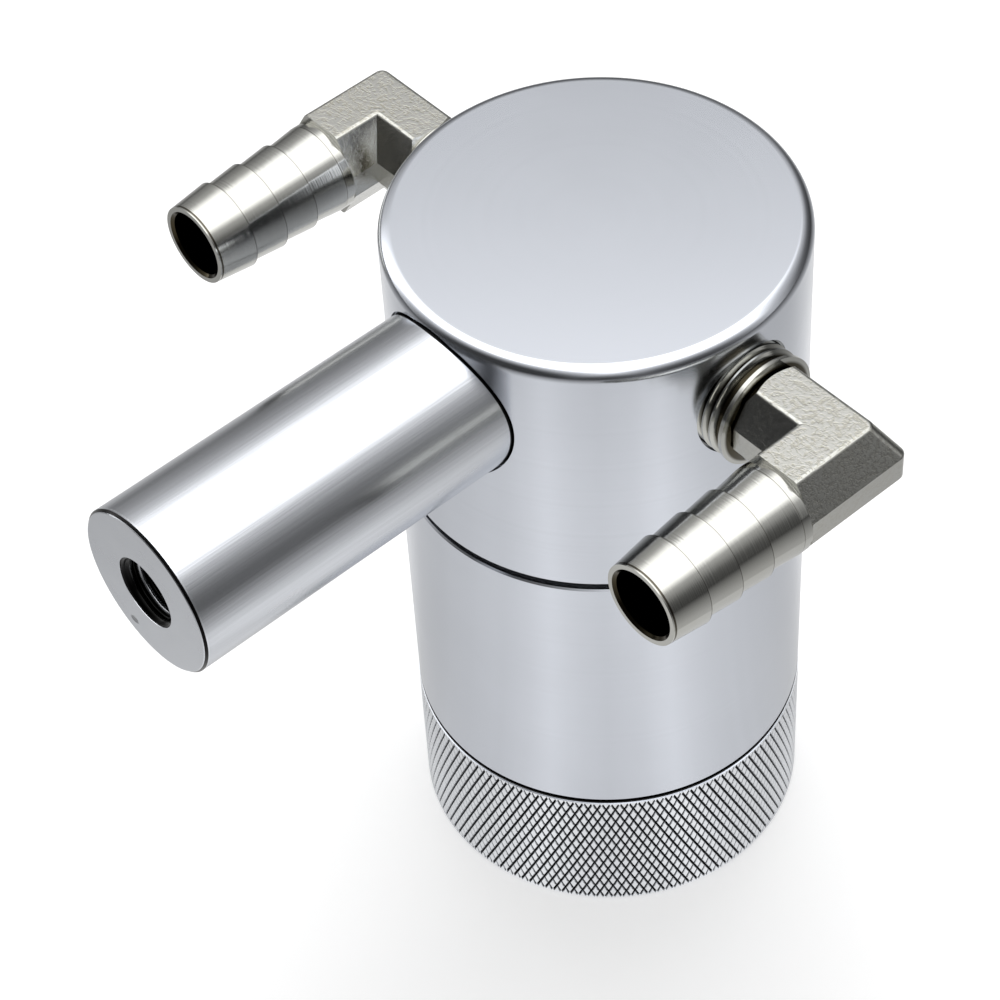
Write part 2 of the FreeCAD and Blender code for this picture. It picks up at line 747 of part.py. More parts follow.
def make_elbow(doc, s, label, side):
    """One forged elbow about the corner where its two passages meet."""
    body = new_body(doc, label)
    draft = s.elbow_half_width - s.elbow_top_half_width
    belt = new_sketch(body, f"{label}_belt", "XY_Plane")
    draw_outline(belt, leg_outline(s, s.elbow_half_width, draft))
    pad(body, f"{label}_belt_pad", belt, 2 * s.elbow_side, Midplane=True)
    doc.recompute()
    parting = new_sketch(body, f"{label}_parting", "XY_Plane", shift_z=s.elbow_side)
    draw_outline(parting, leg_outline(s, s.elbow_half_width, draft))
    flat_top = new_sketch(body, f"{label}_flat_top", "XY_Plane", shift_z=s.elbow_half_height)
    draw_outline(flat_top, leg_outline(s, s.elbow_top_half_width, 0.0))
    half = add_feature(body, "PartDesign::AdditiveLoft", f"{label}_upper", parting)
    half.Sections = [flat_top]
    half.Ruled = True
    doc.recompute()
    mirror(body, f"{label}_lower", half, "XY_Plane")
    doc.recompute()

    trim = new_sketch(body, f"{label}_trim", "XY_Plane", shift_z=s.elbow_half_height + BEYOND)
    far = s.elbow_half_width + BEYOND
    end = -s.elbow_start - draft - BEYOND
    low = -s.elbow_front - draft - BEYOND
    draw_outline(trim, [(end, -far), (-s.elbow_start, -far), (-s.elbow_start, far), (end, far)])
    draw_outline(trim, [(-far, low), (far, low), (far, -s.elbow_front), (-far, -s.elbow_front)])
    pocket(body, f"{label}_ends", trim, 2 * s.elbow_half_height + 2 * BEYOND)
    doc.recompute()
    corners = []
    for number, edge in enumerate(body.Shape.Edges, start=1):
        low_end, high_end = edge.Vertexes[0].Point, edge.Vertexes[-1].Point
        outer = min(low_end.x, high_end.x, low_end.y, high_end.y)
        if outer > s.elbow_top_half_width.value - 1e-3 and abs(low_end.z - high_end.z) > 1e-3:
            corners.append(f"Edge{number}")
    dress(body, "Fillet", f"{label}_outer_corner", corners, s.elbow_corner)
    rims = []
    for number, edge in enumerate(body.Shape.Edges, start=1):
        box = edge.BoundBox
        flat = box.ZLength < 1e-4 and abs(abs(box.ZMin) - s.elbow_half_height.value) < 1e-4
        at_end = box.XMax < -s.elbow_start.value + 1e-4 or box.YMax < -s.elbow_front.value + 1e-4
        if flat and not at_end:
            rims.append(f"Edge{number}")
    dress(body, "Fillet", f"{label}_soft_edges", rims, s.elbow_round)

    cone = new_sketch(body, f"{label}_end_cone", "XY_Plane")
    outermost = s.elbow_end_radius + s.elbow_end_cone
    draw_outline(
        cone,
        [
            (-s.elbow_start - BEYOND, s.elbow_end_radius - BEYOND),
            (s.elbow_end_cone - s.elbow_start, outermost),
            (-s.elbow_start - BEYOND, outermost),
        ],
    )
    bore(body, f"{label}_turned_end", cone, "H_Axis")
    doc.recompute()

    barb = new_sketch(body, f"{label}_barb", "XY_Plane")
    root_end = s.elbow_front + s.barb_collar_length
    first = s.barb_reach - s.barb_first
    joined = BEYOND - s.elbow_front
    points = [
        (0.0, joined),
        (s.barb_root, joined),
        (s.barb_root, -s.elbow_front),
        (s.barb_collar, -s.elbow_front),
        (s.barb_collar, -root_end),
    ]
    crests = int((first.value - root_end.value) / s.barb_pitch.value) + 1
    for number in reversed(range(crests)):
        crest = first - number * s.barb_pitch
        points.append((s.barb_root, -crest))
        if number < crests:
            points.append((s.barb_crest, -crest))
    points.append((s.barb_mouth, -s.barb_reach))
    points.append((0.0, -s.barb_reach))
    draw_outline(barb, points)
    turn(body, f"{label}_barb_turned", barb)
    doc.recompute()

    port = new_sketch(body, f"{label}_port", "XY_Plane")
    neck = -s.elbow_start - s.neck_length
    collar = neck - s.collar_slope
    thread = collar - s.collar_length
    end = s.body_radius - s.port_depth + s.port_end_gap - s.elbow_reach
    joined = BEYOND - s.elbow_start
    outline = [(joined, 0.0), (end, 0.0), (end, s.port_radius - s.port_thread_depth)]
    outline += thread_points(s, end + s.port_thread_pitch / 3, thread)
    outline += [
        (thread, s.port_radius - s.port_thread_depth),
        (thread, s.collar_radius),
        (collar, s.collar_radius),
        (neck, s.neck_radius),
        (joined, s.neck_radius),
    ]
    draw_outline(port, outline)
    turn(body, f"{label}_port_turned", port, "H_Axis")
    doc.recompute()

    along = new_sketch(body, f"{label}_port_way", "XY_Plane")
    tip = s.elbow_bore / 2
    draw_outline(
        along,
        [(end - BEYOND, 0.0), (end - BEYOND, s.elbow_bore), (0.0, s.elbow_bore), (tip, 0.0)],
    )
    bore(body, f"{label}_port_bore", along, "H_Axis")
    doc.recompute()
    across = new_sketch(body, f"{label}_barb_way", "XY_Plane")
    lip = s.elbow_bore + s.barb_lip
    draw_outline(
        across,
        [
            (0.0, tip),
            (s.elbow_bore, 0.0),
            (s.elbow_bore, s.barb_lip - s.barb_reach),
            (lip, -s.barb_reach),
            (lip, -s.barb_reach - BEYOND),
            (0.0, -s.barb_reach - BEYOND),
        ],
    )
    bore(body, f"{label}_barb_bore", across)
    doc.recompute()
    turned = Rotation() if side > 0 else TURNED_ELBOW
    place(body, side * s.elbow_reach, 0.0, s.port_height, turned)
    return body


# What separates the oil from the gas inside.


def make_drop_tube(doc, s):
    """The tube from the inlet port down through the screens, swept along its bend."""
    body = new_body(doc, "drop_tube")
    start = s.port_depth - s.body_radius
    bend_start = -s.tube_turn
    tube_end = head_levels(s)["splash"] + s.tube_end_gap
    route = new_sketch(body, "tube_route", "XZ_Plane")
    y_top = s.port_height
    y_bend = s.port_height - s.tube_bend
    a = Vector(start.value, y_top.value, 0)
    b = Vector(bend_start.value, y_top.value, 0)
    c = Vector(-s.tube_offset.value, y_bend.value, 0)
    d = Vector(-s.tube_offset.value, tube_end.value, 0)
    centre = Vector(bend_start.value, y_bend.value, 0)
    route.addGeometry(Part.LineSegment(a, b), False)
    circle = Part.Circle(centre, Vector(0, 0, 1), s.tube_bend.value)
    route.addGeometry(Part.ArcOfCircle(circle, 0, math.pi / 2), False)
    route.addGeometry(Part.LineSegment(c, d), False)
    route.addConstraint(Sketcher.Constraint("Coincident", 0, 2, 1, 2))
    route.addConstraint(Sketcher.Constraint("Coincident", 1, 1, 2, 1))
    pin_point(route, 0, 1, start, y_top)
    pin_point(route, 0, 2, bend_start, y_top)
    pin_point(route, 1, 3, bend_start, y_bend)
    pin_point(route, 2, 2, -s.tube_offset, tube_end)
    pin_level(route, 2, 1, y_bend)
    doc.recompute()
    outer = s.tube_radius - s.tube_fit
    for name, kind, radius in (
        ("tube_outside", "PartDesign::AdditivePipe", outer),
        ("tube_inside", "PartDesign::SubtractivePipe", outer - s.tube_wall),
    ):
        section = new_sketch(body, f"{name}_section", "YZ_Plane", shift_z=start)
        draw_circle(section, radius, 0.0, s.port_height)
        pipe = add_feature(body, kind, name, section)
        pipe.Spine = (route, [])
        doc.recompute()
    return body


def make_ferrule(doc, s):
    body = make_ring(doc, "tube_ferrule", s.tube_radius, s.ferrule_radius, s.ferrule_length)
    place(body, -s.chamber_radius, 0.0, s.port_height, Rotation(Vector(0, 1, 0), 90))
    return body


def make_stud(doc, s):
    body = new_body(doc, "centre_stud")
    level = head_levels(s)
    top = level["boss"] + s.stud_depth
    foot = level["nut"] - s.nut_height - s.stud_tail
    edge = s.stud_radius / 5
    profile = new_sketch(body, "stud_profile", "XZ_Plane")
    draw_outline(
        profile,
        [
            (0.0, foot),
            (s.stud_radius - edge, foot),
            (s.stud_radius, foot + edge),
            (s.stud_radius, top - edge),
            (s.stud_radius - edge, top),
            (0.0, top),
        ],
    )
    turn(body, "stud_turned", profile)
    doc.recompute()
    return body


def make_on_stud(doc, s, label, outer, thickness, foot):
    """A plain ring threaded on the stud."""
    body = make_ring(doc, label, s.stud_radius + s.stud_gap, outer, thickness)
    place(body, 0.0, 0.0, foot)
    return body


def make_screen(doc, s, label, foot):
    """A perforated disc with a hole for the stud and one for the drop tube."""
    radius = s.chamber_radius - s.screen_gap
    body = make_ring(doc, label, s.stud_radius + s.stud_gap, radius, s.screen_thickness)
    way = new_sketch(body, f"{label}_way", "XY_Plane")
    draw_circle(way, s.tube_radius + s.tube_hole_gap, -s.tube_offset, 0.0)
    pocket(body, f"{label}_tube_hole", way, 2 * s.screen_thickness, Midplane=True)
    doc.recompute()
    arc = s.screen_inner_spread
    rings = (
        (s.screen_ring, s.screen_count, 360.0, as_size(180) / s.screen_count),
        (s.screen_inner_ring, s.screen_inner_count, arc, -arc / 2),
    )
    for number, (ring, count, spread, start) in enumerate(rings, start=1):
        angle = math.radians(as_size(start).value)
        hole = new_sketch(body, f"{label}_hole_{number}", "XY_Plane")
        draw_circle(hole, s.screen_hole, ring * math.cos(angle), ring * math.sin(angle))
        first = pocket(body, f"{label}_cut_{number}", hole, 2 * s.screen_thickness, Midplane=True)
        doc.recompute()
        pattern = body.newObject("PartDesign::PolarPattern", f"{label}_pattern_{number}")
        pattern.Originals = [first]
        pattern.Axis = (hole, ["N_Axis"])
        pattern.Angle = as_size(spread).value
        bind(pattern, "Angle", spread)
        pattern.Occurrences = int(count.value)
        bind(pattern, "Occurrences", count)
        body.Tip = pattern
        doc.recompute()
    place(body, 0.0, 0.0, foot)
    return body


def make_pad(doc, s, foot):
    """The knitted wire pad, as one soft block with its two holes."""
    radius = s.chamber_radius - s.pad_gap
    body = make_ring(doc, "filter_pad", s.stud_radius + s.stud_gap, radius, s.pad_height)
    way = new_sketch(body, "pad_way", "XY_Plane")
    draw_circle(way, s.tube_radius + s.tube_hole_gap, -s.tube_offset, 0.0)
    pocket(body, "pad_tube_hole", way, 2 * s.pad_height, Midplane=True)
    doc.recompute()
    place(body, 0.0, 0.0, foot)
    return body


def make_splash_plate(doc, s, foot):
    body = new_body(doc, "splash_plate")
    hole = s.stud_radius + s.stud_gap
    rim = s.splash_radius - s.splash_thickness
    top = s.splash_thickness + s.splash_rim
    profile = new_sketch(body, "splash_profile", "XZ_Plane")
    draw_outline(
        profile,
        [
            (hole, 0.0),
            (s.splash_radius, 0.0),
            (s.splash_radius, top),
            (rim, top),
            (rim, s.splash_thickness),
            (hole, s.splash_thickness),
        ],
    )
    turn(body, "splash_turned", profile)
    doc.recompute()
    place(body, 0.0, 0.0, foot)
    return body


def make_nut(doc, s, foot):
    body = new_body(doc, "stud_nut")
    sketch = new_sketch(body, "nut_outline", "XY_Plane")
    draw_hexagon(sketch, s.nut_flats)
    draw_circle(sketch, s.stud_radius + s.stud_gap)
    pad(body, "nut_pad", sketch, s.nut_height)
    doc.recompute()
    place(body, 0.0, 0.0, foot)
    return body


def make_parts(doc, s):
    """Every sub-part of the can, each named for its file."""
    level = head_levels(s)
    return [
        make_head(doc, s),
        make_cup(doc, s),
        make_seal(doc, s),
        make_arm(doc, s),
        make_arm_screw(doc, s),
        make_arm_washer(doc, s),
        make_dowel(doc, s),
        make_elbow(doc, s, "outlet_elbow", 1),
        make_elbow(doc, s, "inlet_elbow", -1),
        make_drop_tube(doc, s),
        make_ferrule(doc, s),
        make_stud(doc, s),
        make_on_stud(doc, s, "upper_spacer", s.spacer_radius, s.upper_spacer_length, level["screen"]),
        make_screen(doc, s, "upper_screen", level["pad"]),
        make_pad(doc, s, level["lower_screen"]),
        make_screen(doc, s, "lower_screen", level["lower_spacer"]),
        make_on_stud(doc, s, "lower_spacer", s.spacer_radius, s.lower_spacer_length, level["splash"]),
        make_splash_plate(doc, s, level["washer"]),
        make_on_stud(doc, s, "stud_washer", s.nut_washer_radius, s.nut_washer_thickness, level["nut"]),
        make_nut(doc, s, level["nut"] - s.nut_height),
    ]


def check_and_write(doc, parts):
    doc.recompute()
    for item in doc.Objects:
        if "Invalid" in item.State or "Error" in item.State:
            raise RuntimeError(f"{item.Name} failed: {item.State}")
    for part in parts:
        shape = part.Shape
        if shape.isNull() or not shape.isValid() or len(shape.Solids) != 1:
            raise RuntimeError(f"{part.Label} isn't one valid solid")
    os.makedirs("parts", exist_ok=True)
    for part in parts:
        part.Shape.exportStep(f"parts/{part.Label}.step")
        print(part.Label, round(part.Shape.Volume, 2), len(part.Shape.Faces))


document = FreeCAD.newDocument("OilCatchCan")
check_and_write(document, make_parts(document, Sizes(document)))
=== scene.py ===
"""Oil catch can in bare aluminium with plated hose elbows, on a plain white floor."""

import math

import bmesh
import bpy
from mathutils import Matrix, Vector


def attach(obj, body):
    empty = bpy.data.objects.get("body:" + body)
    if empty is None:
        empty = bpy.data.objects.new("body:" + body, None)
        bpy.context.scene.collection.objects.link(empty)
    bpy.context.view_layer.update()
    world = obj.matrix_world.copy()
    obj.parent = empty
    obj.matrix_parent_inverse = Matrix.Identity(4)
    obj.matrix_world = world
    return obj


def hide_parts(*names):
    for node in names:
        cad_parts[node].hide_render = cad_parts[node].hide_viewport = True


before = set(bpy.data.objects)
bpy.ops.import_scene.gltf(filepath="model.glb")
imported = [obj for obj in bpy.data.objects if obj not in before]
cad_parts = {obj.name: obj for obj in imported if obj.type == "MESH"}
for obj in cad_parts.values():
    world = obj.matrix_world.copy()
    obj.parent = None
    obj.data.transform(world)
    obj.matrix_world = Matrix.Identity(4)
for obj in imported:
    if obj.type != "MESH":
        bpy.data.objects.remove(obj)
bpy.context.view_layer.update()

MM = 0.001

# Sizes of the can, in millimetres.
BODY_RADIUS = 30.0
CAN_HEIGHT = 120.0
TOP_ROUND = 2.0
KNURL_BOTTOM = 0.6
KNURL_TOP = 25.4
RELIEF_LINE = (25.6, 26.48)
JOINING_PITCH = 2.0

ARM_HEIGHT = 106.0
ARM_RADIUS = 12.5
ARM_END = -80.0
HOLE_END = -58.0
HOLE_RADIUS = 5.12
HOLE_MOUTH = 0.9
TAPPING_RADIUS = 4.3
TAPPED_PITCH = 1.5
DENT = (-4.1, 97.1)
DENT_SIZE = (0.75, 0.5)

PORT_HEIGHT = 106.5
PORT_END = 34.0
PORT_ROOT = 8.0
ELBOW_REACH = 46.3
ELBOW_HALF_WIDTH = 6.8
ELBOW_FRONT = -11.2
ELBOW_BEVEL = 1.6
BARB_CREST = 29.4
BARB_PITCH = 5.6
BARB_BORE = 5.42
MOUTH_LINE = (-35.3, -35.0)
MOUTH_LINE_RADIUS = 5.9

# How finely turned pieces are divided, and the angle past which an edge stays sharp.
TURNED_STEPS = 256
SHARP_ANGLE = 30.0

# Where the photograph was taken from.
AIM = Vector((0.0, 0.0, 60.0)) * MM
AZIMUTH = 48.26
ELEVATION = 48.514
DISTANCE = 482.5 * MM
PAN = -1.8542
TILT = -0.1697
ROLL = 1.7006
FOCAL_SHARE = 3.1993
SENSOR = 36.0

# The colour of painted shade: a dark line, a gap or a deep groove.
SHADE_BLACK = (0.01, 0.01, 0.01)

# The floor's half side and the lamp's place, in metres.
FLOOR_REACH = 6.0
LAMP_PLACE = Vector((-0.3, 0.27, 1.1))

# What bright metal sees: the level of the broad lamp, how the room falls off from it, how
# far out and how fast the floor dims, and the levels of the floor round the can.
LAMP_LEVEL = 2.4
FLOOR_NEAR = 0.108
FLOOR_FALL = 0.65
ROOM_LEVELS = (
    (0.0, 1.0), (0.5, 1.0), (0.55, 0.8), (0.60, 0.54), (0.645, 0.46), (0.668, 0.29),
    (0.74, 0.25), (0.83, 0.155), (0.90, 0.07), (1.0, 0.02),
)
FLOOR_LEVELS = (
    (0.0, 0.85), (0.08, 0.90), (0.15, 1.0), (0.22, 0.86), (0.28, 0.77), (0.40, 0.68),
    (0.53, 0.60), (0.62, 0.60), (0.70, 0.72), (0.80, 0.84), (1.0, 0.84),
)


# The camera.


def place_camera():
    azimuth, elevation = math.radians(AZIMUTH), math.radians(ELEVATION)
    flat = math.cos(elevation)
    back = Vector((math.sin(azimuth) * flat, -math.cos(azimuth) * flat, math.sin(elevation)))
    right = Vector((math.cos(azimuth), math.sin(azimuth), 0.0))
    up = back.cross(right)
    looking = Matrix((right, up, back))
    pan = Matrix.Rotation(math.radians(-PAN), 3, "Y").transposed()
    tilt = Matrix.Rotation(math.radians(TILT), 3, "X")
    roll = Matrix.Rotation(math.radians(ROLL), 3, "Z")
    facing = (roll @ tilt @ pan @ looking).transposed()
    data = bpy.data.cameras.new("photo_camera")
    data.sensor_width = SENSOR
    data.lens = SENSOR * FOCAL_SHARE
    data.clip_start = 0.01
    camera = bpy.data.objects.new("photo_camera", data)
    camera.matrix_world = Matrix.Translation(AIM + back * DISTANCE) @ facing.to_4x4()
    bpy.context.scene.collection.objects.link(camera)
    bpy.context.scene.camera = camera


# Nodes of a shader or of a geometry tree, linked by plain arithmetic.


class Chain:
    """A number or vector inside a node tree that can be added, scaled and so on."""

    def __init__(self, tree, socket):
        self.tree = tree
        self.socket = socket

    def sum_with(self, kind, *others):
        node = self.tree.nodes.new("ShaderNodeMath")
        node.operation = kind
        for slot, item in zip(node.inputs, (self, *others)):
            join(self.tree, item, slot)
        return Chain(self.tree, node.outputs[0])

    def __add__(self, other):
        return self.sum_with("ADD", other)

    def __radd__(self, other):
        return self.sum_with("ADD", other)

    def __sub__(self, other):
        return self.sum_with("SUBTRACT", other)

    def __rsub__(self, other):
        return (self * -1.0) + other

    def __mul__(self, other):
        return self.sum_with("MULTIPLY", other)

    def __truediv__(self, other):
        return self.sum_with("DIVIDE", other)

    def __rtruediv__(self, other):
        return self.sum_with("POWER", -1.0) * other

    def over(self, limit):
        return self.sum_with("GREATER_THAN", limit)

    def under(self, limit):
        return self.sum_with("LESS_THAN", limit)

    def most(self, other):
        return self.sum_with("MAXIMUM", other)

    def least(self, other):
        return self.sum_with("MINIMUM", other)

    def wrap(self, high, low=0.0):
        return self.sum_with("WRAP", high, low)

    def fraction(self):
        return self.sum_with("FRACT")

    def rounded(self):
        return self.sum_with("ROUND")

    def size(self):
        return self.sum_with("ABSOLUTE")

    def sine(self):
        return self.sum_with("SINE")

    def cosine(self):
        return self.sum_with("COSINE")

    def root(self):
        return self.sum_with("SQRT")

    def clamped(self):
        return self.most(0.0).least(1.0)


def join(tree, item, slot):
    """Link a chain or an output into an input, or write a plain value there."""
    if isinstance(item, Chain):
        tree.links.new(item.socket, slot)
    elif isinstance(item, bpy.types.NodeSocket):
        tree.links.new(item, slot)
    else:
        slot.default_value = item


def node_of(tree, kind, *given):
    """A node with its first inputs set in order."""
    node = tree.nodes.new(kind)
    for slot, item in zip(node.inputs, given):
        join(tree, item, slot)
    return node


def vector_sum(tree, kind, first, second):
    """One step of vector arithmetic; the second value of SCALE is a plain number."""
    node = tree.nodes.new("ShaderNodeVectorMath")
    node.operation = kind
    join(tree, first, node.inputs[0])
    join(tree, second, node.inputs["Scale" if kind == "SCALE" else 1])
    return node.outputs[0]


def distance_of(first, second):
    """The length of two chains at right angles to each other."""
    return (first * first + second * second).root()


def split(tree, vector):
    node = node_of(tree, "ShaderNodeSeparateXYZ", vector)
    return [Chain(tree, output) for output in node.outputs]


def combine(tree, x, y, z):
    return node_of(tree, "ShaderNodeCombineXYZ", x, y, z).outputs[0]


# Rings that follow a rule: the diamond knurl and the screw threads.


def new_ring_tree(name, numbers, counts):
    """A geometry tree with its sizes as named inputs, and those inputs as chains."""
    tree = bpy.data.node_groups.new(name, "GeometryNodeTree")
    tree.interface.new_socket("Geometry", in_out="OUTPUT", socket_type="NodeSocketGeometry")
    for title in numbers:
        tree.interface.new_socket(title, in_out="INPUT", socket_type="NodeSocketFloat")
    for title in counts:
        tree.interface.new_socket(title, in_out="INPUT", socket_type="NodeSocketInt")
    for title in ("Place", "Turn"):
        tree.interface.new_socket(title, in_out="INPUT", socket_type="NodeSocketVector")
    tree.interface.new_socket("Material", in_out="INPUT", socket_type="NodeSocketMaterial")
    given = tree.nodes.new("NodeGroupInput")
    return tree, {socket.name: Chain(tree, socket) for socket in given.outputs if socket.name}


def ring_grid(tree, columns, rows):
    """A flat grid to be rolled up, with the number of each point's column and row."""
    grid = node_of(tree, "GeometryNodeMeshGrid", 1.0, 1.0, columns + 1.0, rows)
    across, along, _ = split(tree, tree.nodes.new("GeometryNodeInputPosition").outputs[0])
    column = ((across + 0.5) * columns).rounded()
    row = ((along + 0.5) * (rows - 1.0)).rounded()
    return grid.outputs["Mesh"], column, row


def roll_up(tree, given, mesh, radius, angle, height, inwards, smooth):
    """Roll the grid into a closed ring, put it in its place and give it its material."""
    spot = combine(tree, radius * angle.cosine(), radius * angle.sine(), height)
    rolled = tree.nodes.new("GeometryNodeSetPosition")
    join(tree, mesh, rolled.inputs["Geometry"])
    join(tree, spot, rolled.inputs["Position"])
    whole = tree.nodes.new("GeometryNodeMergeByDistance")
    join(tree, rolled.outputs[0], whole.inputs["Geometry"])
    whole.inputs["Distance"].default_value = 0.002 * MM
    facing = tree.nodes.new("GeometryNodeFlipFaces")
    join(tree, whole.outputs[0], facing.inputs["Mesh"])
    join(tree, inwards, facing.inputs["Selection"])
    cut = node_of(tree, "GeometryNodeTriangulate", facing.outputs[0])
    moved = tree.nodes.new("GeometryNodeTransform")
    join(tree, cut.outputs[0], moved.inputs["Geometry"])
    join(tree, given["Place"], moved.inputs["Translation"])
    join(tree, given["Turn"], moved.inputs["Rotation"])
    shaded = tree.nodes.new("GeometryNodeSetShadeSmooth")
    join(tree, moved.outputs[0], shaded.inputs["Geometry"])
    shaded.inputs["Shade Smooth"].default_value = smooth
    real = node_of(tree, "GeometryNodeRealizeInstances", shaded.outputs[0])
    coated = tree.nodes.new("GeometryNodeSetMaterial")
    join(tree, real.outputs[0], coated.inputs["Geometry"])
    join(tree, given["Material"], coated.inputs["Material"])
    tree.links.new(coated.outputs[0], tree.nodes.new("NodeGroupOutput").inputs[0])


def knurl_tree():
    """Flat-topped diamonds round a ring, left between two families of crossing V-shaped grooves."""
    sizes = ("Crest", "Depth", "Hidden", "Bottom", "Top")
    tree, given = new_ring_tree("diamond_knurl", sizes, ("Diamonds", "Rows", "Steps"))
    columns = given["Diamonds"] * given["Steps"]
    steps = given["Rows"] * given["Steps"]
    mesh, column, row = ring_grid(tree, columns, steps + 4.0)
    outside = row.over(0.5) * row.under(steps + 1.5)
    inner = row.over(1.5) * row.under(steps + 0.5)
    rising = (column + row - 0.75).wrap(given["Steps"]).under(0.5)
    falling = (column - row + 1.25).wrap(given["Steps"]).under(0.5)
    groove = rising.most(falling) * inner
    carved = given["Crest"] - given["Depth"] * groove
    radius = outside * carved + (1.0 - outside) * given["Hidden"]
    share = ((row - 1.0) / steps).clamped() * row.under(steps + 2.5)
    height = given["Bottom"] + share * (given["Top"] - given["Bottom"])
    angle = column / columns * math.tau
    roll_up(tree, given, mesh, radius, angle, height, False, False)
    return tree


def thread_tree():
    """A right-handed screw thread: an outer one with Hidden under Root, an inner one over it."""
    sizes = ("Root", "Crest", "Hidden", "Start", "End", "Pitch", "Shift", "Lead")
    tree, given = new_ring_tree("screw_thread", sizes, ("Columns", "Rows"))
    mesh, column, row = ring_grid(tree, given["Columns"] * 1.0, given["Rows"] + 3.0)
    rows = given["Rows"]
    faced = row.over(0.5) * row.under(rows + 0.5)
    share = ((row - 1.0) / (rows - 1.0)).clamped() * row.under(rows + 1.5)
    height = given["Start"] + share * (given["End"] - given["Start"])
    turn = column / given["Columns"]
    phase = (height / given["Pitch"] - turn + given["Shift"]).fraction()
    peak = 1.0 - (phase * 2.0 - 1.0).size()
    wave = ((peak - 0.5) * 1.8 + 0.5).clamped()
    to_end = (height - given["Start"]).least(given["End"] - height) / given["Pitch"]
    fade = to_end.clamped()
    thread = given["Root"] + (given["Crest"] - given["Root"]) * wave * fade
    cone = given["Lead"] - (given["End"] - height)
    radius = faced * thread.most(cone) + (1.0 - faced) * given["Hidden"]
    inwards = given["Hidden"].over(given["Root"])
    roll_up(tree, given, mesh, radius, turn * math.tau, height, inwards, True)
    return tree


def grow(name, tree, material, **sizes):
    """A plain mesh piece made by a geometry tree from sizes given by their input's name."""
    seed = bpy.data.objects.new(f"{name}_seed", bpy.data.meshes.new(f"{name}_seed"))
    bpy.context.scene.collection.objects.link(seed)
    modifier = seed.modifiers.new("shape", "NODES")
    modifier.node_group = tree
    values = {**sizes, "Material": material}
    for item in tree.interface.items_tree:
        if item.item_type == "SOCKET" and item.in_out == "INPUT" and item.name in values:
            modifier[item.identifier] = values[item.name]
    graph = bpy.context.evaluated_depsgraph_get()
    mesh = bpy.data.meshes.new_from_object(seed.evaluated_get(graph), depsgraph=graph)
    bpy.data.objects.remove(seed)
    return put(name, mesh)


def put(name, mesh):
    mesh.name = name
    piece = bpy.data.objects.new(name, mesh)
    bpy.context.scene.collection.objects.link(piece)
    return piece


def turned(name, outline):
    """A closed piece turned about the can's axis from an outline of radii and heights in mm."""
    steps = TURNED_STEPS
    points = []
    faces = []
    rings = []
    for radius, height in outline:
        if radius == 0.0:
            rings.append([len(points)] * steps)
            points.append((0.0, 0.0, height * MM))
            continue
        first = len(points)
        for step in range(steps):
            angle = math.tau * step / steps
            x, y = radius * MM * math.cos(angle), radius * MM * math.sin(angle)
            points.append((x, y, height * MM))
        rings.append([first + step for step in range(steps)])
    for low, high in zip(rings, rings[1:]):
        for step in range(steps):
            after = (step + 1) % steps
            corners = (low[step], low[after], high[after], high[step])
            faces.append(list(dict.fromkeys(corners)))
    mesh = bpy.data.meshes.new(name)
    mesh.from_pydata(points, [], faces)
    return put(name, mesh)


def smooth_faces(piece):
    piece.data.shade_smooth()
    piece.data.set_sharp_from_angle(angle=math.radians(SHARP_ANGLE))


# Effects that several finishes share.


def new_effect(name, inputs, outputs):
    """A shader node group with named inputs and outputs."""
    tree = bpy.data.node_groups.new(name, "ShaderNodeTree")
    kinds = {"value": "NodeSocketFloat", "vector": "NodeSocketVector"}
    for title, (kind, value) in inputs.items():
        socket = tree.interface.new_socket(title, in_out="INPUT", socket_type=kinds[kind])
        socket.default_value = value
    for title, kind in outputs.items():
        tree.interface.new_socket(title, in_out="OUTPUT", socket_type=kinds[kind])
    given = tree.nodes.new("NodeGroupInput")
    result = tree.nodes.new("NodeGroupOutput")
    chains = {socket.name: Chain(tree, socket) for socket in given.outputs if socket.name}
    return tree, chains, result


def noise(tree, vector, scale, detail=2.0, roughness=0.5):
    node = tree.nodes.new("ShaderNodeTexNoise")
    join(tree, vector, node.inputs["Vector"])
    join(tree, scale, node.inputs["Scale"])
    node.inputs["Detail"].default_value = detail
    node.inputs["Roughness"].default_value = roughness
    return Chain(tree, node.outputs["Fac"])


def line_noise(tree, along, scale, detail=2.0):
    """Noise that changes along one length only, as tool marks do."""
    node = tree.nodes.new("ShaderNodeTexNoise")
    node.noise_dimensions = "1D"
    join(tree, along, node.inputs["W"])
    join(tree, scale, node.inputs["Scale"])
    node.inputs["Detail"].default_value = detail
    return Chain(tree, node.outputs["Fac"])


def tool_marks_effect():
    """Fine rings left by turning, along one length, broken up a little round the piece."""
    inputs = {
        "Position": ("vector", (0, 0, 0)),
        "Along": ("value", 0.0),
        "Lines per mm": ("value", 6.0),
    }
    tree, given, result = new_effect("tool_marks", inputs, {"Height": "value", "Mask": "value"})
    along = given["Along"] * 1000.0
    waver = noise(tree, given["Position"].socket, 45.0) * 0.06
    fine = line_noise(tree, along + waver, given["Lines per mm"], 3.0)
    broad = line_noise(tree, along, given["Lines per mm"] * 0.18, 1.0)
    join(tree, fine * 0.7 + broad * 0.3, result.inputs["Height"])
    join(tree, broad, result.inputs["Mask"])
    return tree


def handling_effect():
    """Faint clouds of wiping and handling that dull a bright surface here and there."""
    inputs = {"Position": ("vector", (0, 0, 0)), "Size": ("value", 60.0)}
    tree, given, result = new_effect("handling", inputs, {"Mask": "value"})
    clouds = noise(tree, given["Position"].socket, given["Size"], 4.0, 0.6)
    join(tree, ((clouds - 0.35) * 2.2).clamped(), result.inputs["Mask"])
    return tree


